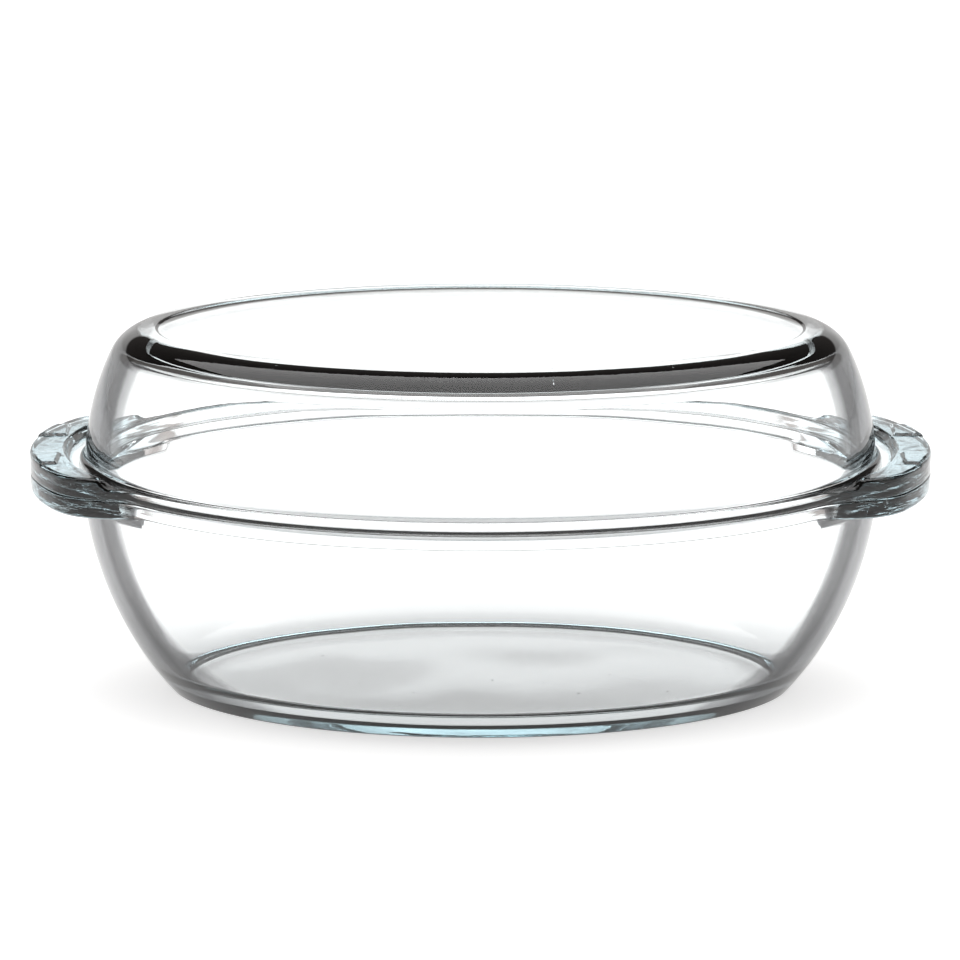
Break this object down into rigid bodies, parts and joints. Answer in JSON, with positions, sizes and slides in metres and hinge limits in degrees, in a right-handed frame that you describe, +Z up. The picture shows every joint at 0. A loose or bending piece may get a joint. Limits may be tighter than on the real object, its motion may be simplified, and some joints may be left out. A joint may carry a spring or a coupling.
{
  "type": "covered casserole dish",
  "caption": "Deep oval clear-glass casserole dish with moulded end lugs and a matching glass lid that lifts off and turns over into a shallow dish.",
  "frame": {"origin": "centre of the flat foot of the dish, on the surface it stands on", "axes": "+X along the length towards one lug, +Y across the dish, +Z up, the way the lid lifts"},
  "size_m": [0.35, 0.21, 0.1445],
  "materials": {
    "dish_glass": "clear, polished, pressed",
    "lid_glass": "clear, polished, pressed"
  },
  "bodies": {
    "dish": {"dish": "dish_glass"},
    "lid": {"lid": "lid_glass"}
  },
  "joints": [
    {"name": "lid_lift", "type": "slide", "parent": "dish", "child": "lid", "axis": [0, 0, 1], "range_m": [0, 0.15]}
  ]
}
